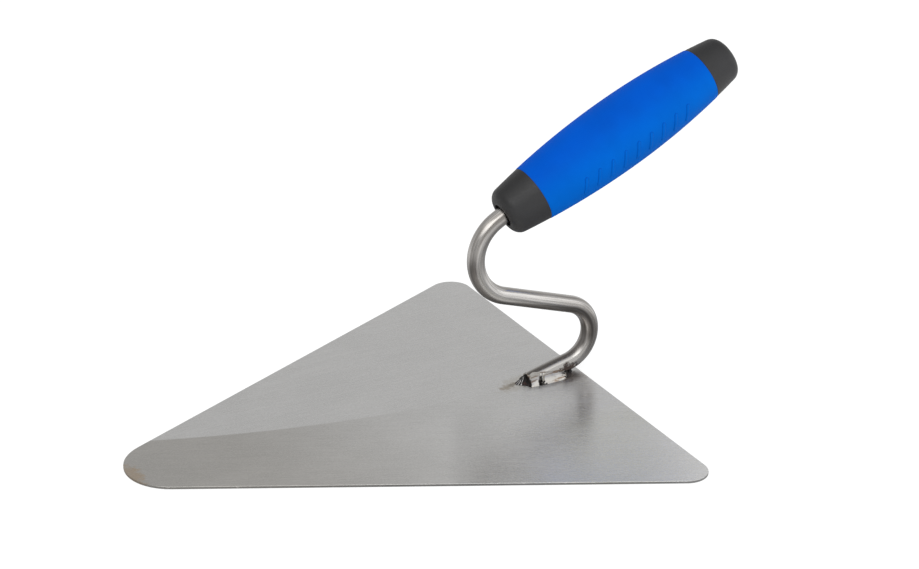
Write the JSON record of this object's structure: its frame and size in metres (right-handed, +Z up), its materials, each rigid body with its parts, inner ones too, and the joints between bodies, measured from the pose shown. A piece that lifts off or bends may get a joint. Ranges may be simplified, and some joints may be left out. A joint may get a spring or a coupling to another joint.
{
  "type": "brick trowel",
  "caption": "Flat triangular steel blade with rounded corners, a double-bent round-bar neck welded near its heel edge, and a barrel-shaped two-plastic handle.",
  "frame": {"origin": "on the blade's flat underside, on the centreline, below the middle of the neck's foot, 18 mm in from the heel edge", "axes": "+X from the blade's tip towards the heel edge and handle, +Y to the user's right, +Z up from the blade"},
  "size_m": [0.2983, 0.234, 0.1493],
  "materials": {
    "blade_steel": "satin brushed stainless sheet",
    "neck_steel": "ground and polished round stainless bar",
    "weld_metal": "weld bead, ground bright",
    "burnt_weld": "weld bead left dark with scale",
    "hard_plastic": "black moulded polypropylene, satin",
    "soft_grip": "blue soft-touch elastomer, semi-matt"
  },
  "bodies": {
    "root": {"blade": "blade_steel", "neck": "neck_steel", "weld_left": "weld_metal", "weld_right": "weld_metal", "weld_toe": "burnt_weld", "weld_heel": "burnt_weld", "handle_core": "hard_plastic", "handle_grip": "soft_grip"}
  },
  "joints": []
}
